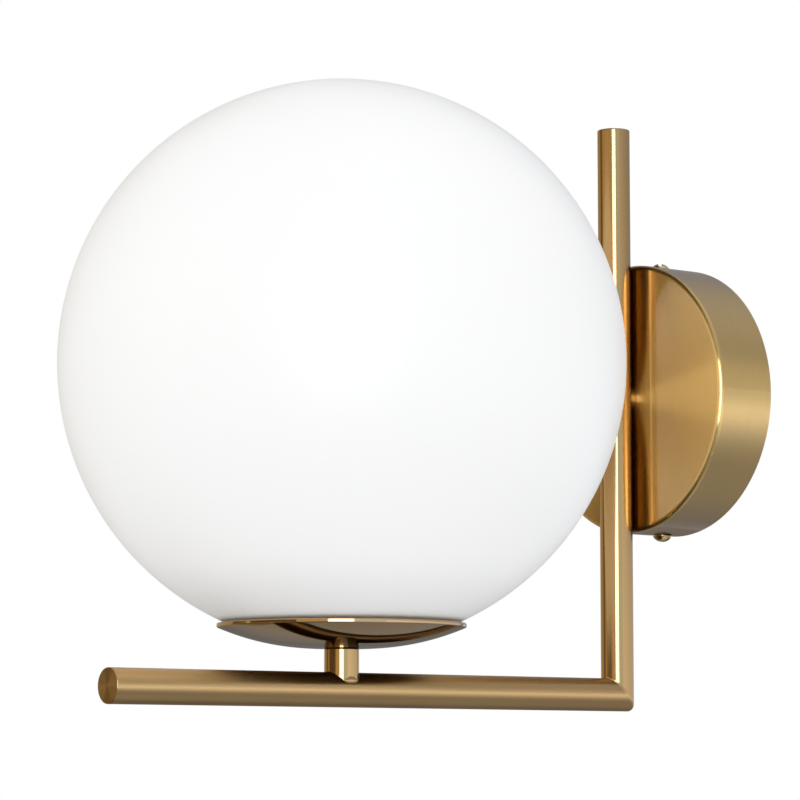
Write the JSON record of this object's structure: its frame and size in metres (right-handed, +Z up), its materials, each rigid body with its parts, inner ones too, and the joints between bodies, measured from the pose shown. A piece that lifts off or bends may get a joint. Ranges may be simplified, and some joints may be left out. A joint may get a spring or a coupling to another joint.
{
  "type": "wall lamp",
  "caption": "Wall lamp with a round wall canopy, an L-shaped tube frame and an opal glass globe standing in a shallow dish on the arm.",
  "frame": {"origin": "centre of the canopy's back, on the wall, midway between the two wall slots of the bracket", "axes": "+Z up, +Y into the wall, so the arm reaches out along -Y, and +X to the right as seen from the room"},
  "size_m": [0.197, 0.2558, 0.2174],
  "materials": {
    "brushed_brass": "fine brushed, clear lacquered",
    "polished_brass": "polished, clear lacquered",
    "plain_brass": "as drawn",
    "spring_bronze": "rolled",
    "tinned_copper": "tinned",
    "zinc_steel": "zinc plated",
    "nickel": "nickel plated",
    "solder": "tinned",
    "ring_aluminium": "satin",
    "opal_glass": "glossy triplex opal",
    "porcelain": "glazed",
    "silicone": "matt",
    "white_nylon": "moulded",
    "opal_plastic": "satin opal",
    "white_plastic": "satin",
    "black_plastic": "glossy",
    "brown_insulation": "extruded",
    "blue_insulation": "extruded",
    "earth_insulation": "extruded"
  },
  "bodies": {
    "lamp": {"wall_bracket": "zinc_steel", "earth_screw": "plain_brass", "earth_washer": "zinc_steel", "earth_tag": "tinned_copper", "terminal_block": "white_nylon", "terminal_sleeves": "plain_brass", "terminal_screws": "zinc_steel", "block_screws": "zinc_steel", "canopy": "brushed_brass", "mount_collar": "brushed_brass", "mount_tube": "zinc_steel", "mount_washer": "zinc_steel", "mount_nut": "zinc_steel", "mount_bush": "white_nylon", "upright_tube": "brushed_brass", "upright_plug": "brushed_brass", "arm_tube": "brushed_brass", "arm_plug": "brushed_brass", "stem": "brushed_brass", "stem_tube": "zinc_steel", "dish": "polished_brass", "dish_nut": "zinc_steel", "gallery": "zinc_steel", "globe_gasket": "silicone", "holder_cup": "porcelain", "holder_insert": "porcelain", "holder_skirt": "porcelain", "holder_sleeve": "plain_brass", "centre_contact": "spring_bronze", "live_lead": "brown_insulation", "neutral_lead": "blue_insulation", "earth_lead": "earth_insulation"},
    "globe": {"globe": "opal_glass", "globe_ring": "ring_aluminium"},
    "bulb": {"bulb_dome": "opal_plastic", "bulb_housing": "white_plastic", "bulb_cap": "nickel", "bulb_insulator": "black_plastic", "bulb_contact": "solder"},
    "canopy_screw_top": {"canopy_screw_top": "polished_brass"},
    "canopy_screw_bottom": {"canopy_screw_bottom": "polished_brass"}
  },
  "joints": [
    {"name": "globe_lift", "type": "slide", "parent": "lamp", "child": "globe", "axis": [0, 0, 1], "range_m": [0, 0.16]},
    {"name": "bulb_out", "type": "slide", "parent": "lamp", "child": "bulb", "axis": [0, 0, 1], "range_m": [0, 0.025]},
    {"name": "canopy_screw_top_out", "type": "slide", "parent": "lamp", "child": "canopy_screw_top", "axis": [0, 0, 1], "range_m": [0, 0.008]},
    {"name": "canopy_screw_bottom_out", "type": "slide", "parent": "lamp", "child": "canopy_screw_bottom", "axis": [0, 0, -1], "range_m": [0, 0.008]}
  ]
}
